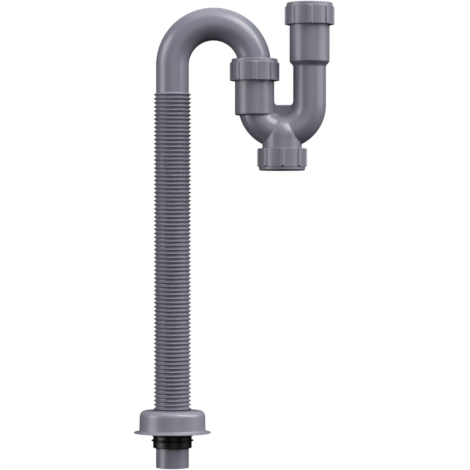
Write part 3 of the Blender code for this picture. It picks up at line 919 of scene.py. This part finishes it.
def new_material(name):
    """A material with its node tree, its shader and the piece's own coordinates."""
    material = bpy.data.materials.new(name)
    material.use_nodes = True
    tree = material.node_tree
    coordinates = tree.nodes.new("ShaderNodeTexCoord").outputs["Object"]
    return material, tree, tree.nodes["Principled BSDF"], coordinates


def noise(tree, coordinates, scale, detail, roughness, stretch=(1, 1, 1)):
    """A noise texture over the piece, with its grain stretched along an axis."""
    mapping = tree.nodes.new("ShaderNodeMapping")
    mapping.inputs["Scale"].default_value = stretch
    tree.links.new(coordinates, mapping.inputs["Vector"])
    texture = tree.nodes.new("ShaderNodeTexNoise")
    texture.inputs["Scale"].default_value = scale
    texture.inputs["Detail"].default_value = detail
    texture.inputs["Roughness"].default_value = roughness
    tree.links.new(mapping.outputs["Vector"], texture.inputs["Vector"])
    return texture.outputs["Fac"]


def spread(tree, value, low, high):
    """A 0 to 1 value, sharpened about its middle and spread between two values."""
    ranged = tree.nodes.new("ShaderNodeMapRange")
    ranged.inputs["From Min"].default_value = 0.3
    ranged.inputs["From Max"].default_value = 0.7
    ranged.inputs["To Min"].default_value = low
    ranged.inputs["To Max"].default_value = high
    tree.links.new(value, ranged.inputs["Value"])
    return ranged.outputs["Result"]


def tinted(tree, value, dark, light):
    """A colour between two colours."""
    mix = tree.nodes.new("ShaderNodeMix")
    mix.data_type = "RGBA"
    mix.inputs["A"].default_value = (*dark, 1)
    mix.inputs["B"].default_value = (*light, 1)
    tree.links.new(value, mix.inputs["Factor"])
    return mix.outputs["Result"]


def bump(tree, height, distance, strength, below=None):
    """A bump of that real height, on top of another bump."""
    node = tree.nodes.new("ShaderNodeBump")
    node.inputs["Strength"].default_value = strength
    node.inputs["Distance"].default_value = distance
    tree.links.new(height, node.inputs["Height"])
    if below:
        tree.links.new(below, node.inputs["Normal"])
    return node.outputs["Normal"]


def satin_plastic(name, color, roughness, streaks=(1, 1, 1), waviness=0.35):
    """Moulded or extruded plastic: cloudy colour, a satin skin with fine grain, and flow waves."""
    material, tree, shader, coordinates = new_material(name)
    clouds = noise(tree, coordinates, scale=38, detail=4, roughness=0.55, stretch=streaks)
    dark = [channel * 0.95 for channel in color]
    light = [channel * 1.05 for channel in color]
    tint = tinted(tree, spread(tree, clouds, 0, 1), dark, light)
    tree.links.new(tint, shader.inputs["Base Color"])
    patches = noise(tree, coordinates, scale=120, detail=5, roughness=0.6, stretch=streaks)
    satin = spread(tree, patches, roughness - 0.03, roughness + 0.04)
    tree.links.new(satin, shader.inputs["Roughness"])
    flow = noise(tree, coordinates, scale=60, detail=2, roughness=0.4, stretch=streaks)
    waves = bump(tree, flow, 0.05 * MM, waviness)
    grit = noise(tree, coordinates, scale=2600, detail=2, roughness=0.5)
    grain = bump(tree, grit, 0.012 * MM, 0.5, waves)
    tree.links.new(grain, shader.inputs["Normal"])
    shader.inputs["IOR"].default_value = 1.5
    shader.inputs["Coat Weight"].default_value = 0.25
    shader.inputs["Coat Roughness"].default_value = 0.22
    return material


def glossy_rubber(name, color, roughness):
    """Black rubber: a smooth skin with dull patches and a fine uneven surface."""
    material, tree, shader, coordinates = new_material(name)
    clouds = noise(tree, coordinates, scale=90, detail=4, roughness=0.6)
    light = [channel * 1.4 for channel in color]
    tint = tinted(tree, spread(tree, clouds, 0, 1), color, light)
    tree.links.new(tint, shader.inputs["Base Color"])
    patches = noise(tree, coordinates, scale=220, detail=4, roughness=0.6)
    dulled = spread(tree, patches, roughness - 0.05, roughness + 0.08)
    tree.links.new(dulled, shader.inputs["Roughness"])
    grit = noise(tree, coordinates, scale=1400, detail=3, roughness=0.6)
    skin = bump(tree, grit, 0.012 * MM, 0.3)
    tree.links.new(skin, shader.inputs["Normal"])
    shader.inputs["IOR"].default_value = 1.42
    return material


def pale_floor_material():
    """An even pale grey with faint clouds."""
    material, tree, shader, coordinates = new_material("pale_floor")
    clouds = noise(tree, coordinates, scale=3, detail=3, roughness=0.5)
    tint = tinted(tree, spread(tree, clouds, 0, 1), FLOOR_DARK, FLOOR_LIGHT)
    tree.links.new(tint, shader.inputs["Base Color"])
    shader.inputs["Roughness"].default_value = 0.9
    return material


# Studio


def make_camera():
    """The photograph's camera: level, and square to the plane of the trap and the pipe."""
    data = bpy.data.cameras.new("photo_camera")
    data.sensor_width = SENSOR_MM
    data.lens = SENSOR_MM * CAMERA_DISTANCE / (PHOTO_WIDTH_PX * PIXEL)
    data.clip_end = CAMERA_REACH
    camera = bpy.data.objects.new("photo_camera", data)
    camera.location = (CAMERA_X, -CAMERA_DISTANCE, CAMERA_Z)
    camera.rotation_euler = (math.pi / 2, 0, 0)
    bpy.context.scene.collection.objects.link(camera)
    bpy.context.scene.camera = camera


def make_floor():
    """A pale floor well below the part, which throws no light on it."""
    bm = bmesh.new()
    bmesh.ops.create_circle(bm, cap_ends=True, radius=FLOOR_RADIUS, segments=FLOOR_SEGMENTS)
    mesh = bpy.data.meshes.new("floor")
    bm.to_mesh(mesh)
    bm.free()
    mesh.materials.append(pale_floor_material())
    floor = bpy.data.objects.new("floor", mesh)
    floor.location = (CAMERA_X, 0, FLOOR_Z)
    floor.visible_diffuse = False
    floor.visible_glossy = False
    bpy.context.scene.collection.objects.link(floor)


def softbox(name, azimuth, elevation, distance, size, power):
    """A rectangular lamp that faces the object. Azimuth 0 is the camera's side, +90 the right."""
    aim = Vector((CAMERA_X, 0, CAMERA_Z))
    side = math.radians(azimuth)
    rise = math.radians(elevation)
    level = math.cos(rise)
    direction = Vector((math.sin(side) * level, -math.cos(side) * level, math.sin(rise)))
    data = bpy.data.lights.new(name, "AREA")
    data.shape = "RECTANGLE"
    data.size, data.size_y = size
    data.energy = power
    lamp = bpy.data.objects.new(name, data)
    lamp.location = aim + distance * direction
    lamp.rotation_euler = direction.to_track_quat("Z", "Y").to_euler()
    lamp.visible_camera = False
    bpy.context.scene.collection.objects.link(lamp)


def make_world():
    """White where the camera sees it, and else a dim studio that is dark below the horizon."""
    world = bpy.data.worlds.new("studio")
    world.use_nodes = True
    tree = world.node_tree
    background = tree.nodes["Background"]
    coordinates = tree.nodes.new("ShaderNodeTexCoord").outputs["Generated"]
    split = tree.nodes.new("ShaderNodeSeparateXYZ")
    tree.links.new(coordinates, split.inputs["Vector"])
    ramp = tree.nodes.new("ShaderNodeMapRange")
    ramp.inputs["From Min"].default_value = 0.0
    ramp.inputs["From Max"].default_value = 0.5
    ramp.inputs["To Min"].default_value = HORIZON_STRENGTH
    ramp.inputs["To Max"].default_value = SKY_STRENGTH
    tree.links.new(split.outputs["Z"], ramp.inputs["Value"])
    seen = tree.nodes.new("ShaderNodeLightPath").outputs["Is Camera Ray"]
    mix = tree.nodes.new("ShaderNodeMix")
    tree.links.new(seen, mix.inputs["Factor"])
    tree.links.new(ramp.outputs["Result"], mix.inputs["A"])
    mix.inputs["B"].default_value = 1.0
    tree.links.new(mix.outputs["Result"], background.inputs["Strength"])
    background.inputs["Color"].default_value = (1, 1, 1, 1)
    bpy.context.scene.world = world


def make_lights():
    """A wall of light at each side for the long soft bands, a main one from the upper right, and
    fill. Each row gives azimuth, elevation, distance, width and height, and power."""
    softbox("left_upper_softbox", -73, 26, 4.5, (2.85, 1.65), 82)
    softbox("left_middle_softbox", -73, 6, 3.0, (1.9, 1.0), 21)
    softbox("left_lower_softbox", -73, -14, 3.0, (1.9, 1.0), 19)
    softbox("right_upper_softbox", 80, 29, 4.5, (3.6, 1.65), 128)
    softbox("right_middle_softbox", 80, 10, 3.0, (2.4, 0.9), 13)
    softbox("right_lower_softbox", 80, -8, 3.0, (2.4, 0.8), 3)
    softbox("main_softbox", 50, 50, 4.5, (2.85, 2.85), 189)
    softbox("top_softbox", 0, 80, 4.5, (3.9, 3.9), 84)
    softbox("front_softbox", 10, 12, 3.2, (2.5, 2.5), 17)
    softbox("back_softbox", 180, 52, 3.0, (2.6, 1.4), 11)


def make_slip_joints(body_plastic, nut_plastic, ring_plastic, seal_rubber):
    """The thread, nut, seal and ring of each slip joint. The cleanout has its plug for a ring."""
    for joint, place, flipped in SLIP_JOINTS:
        make_socket_thread(f"{joint}_socket_thread", place, flipped, body_plastic)
        nut = f"{joint}_nut"
        make_nut(f"{joint}_nut_surface", place, flipped, nut, nut, nut_plastic)
        seal_body = "cleanout_plug" if flipped else "trap"
        seal = f"{joint}_seal"
        make_seal(f"{joint}_seal_surface", place, flipped, seal_body, seal, seal_rubber)
        if not flipped:
            ring = f"{joint}_ring"
            make_slip_ring(f"{joint}_ring_surface", place, ring, f"{joint}_slip_ring", ring_plastic)


def make_pieces():
    """All materials, and all pieces in them."""
    body_plastic = satin_plastic("body_plastic", (0.1635, 0.1635, 0.2015), 0.34)
    nut_plastic = satin_plastic("nut_plastic", (0.161, 0.161, 0.198), 0.36)
    pipe_plastic = satin_plastic("pipe_plastic", (0.171, 0.171, 0.2145), 0.34, (1, 1, 0.35), 0.05)
    cover_plastic = satin_plastic("cover_plastic", (0.195, 0.195, 0.235), 0.36, waviness=0.2)
    ring_plastic = satin_plastic("ring_plastic", (0.2, 0.2, 0.235), 0.4)
    seal_rubber = glossy_rubber("seal_rubber", (0.012, 0.012, 0.013), 0.5)
    sleeve_rubber = glossy_rubber("sleeve_rubber", (0.005, 0.005, 0.0055), 0.33)

    make_trap_body(body_plastic)
    make_slip_joints(body_plastic, nut_plastic, ring_plastic, seal_rubber)
    make_cleanout_plug(nut_plastic)
    make_hook_and_pipe(pipe_plastic)
    make_floor_sleeve(sleeve_rubber)
    make_floor_cover(cover_plastic)


bpy.context.scene.view_settings.view_transform = "Standard"
make_camera()
make_pieces()
make_floor()
make_world()
make_lights()
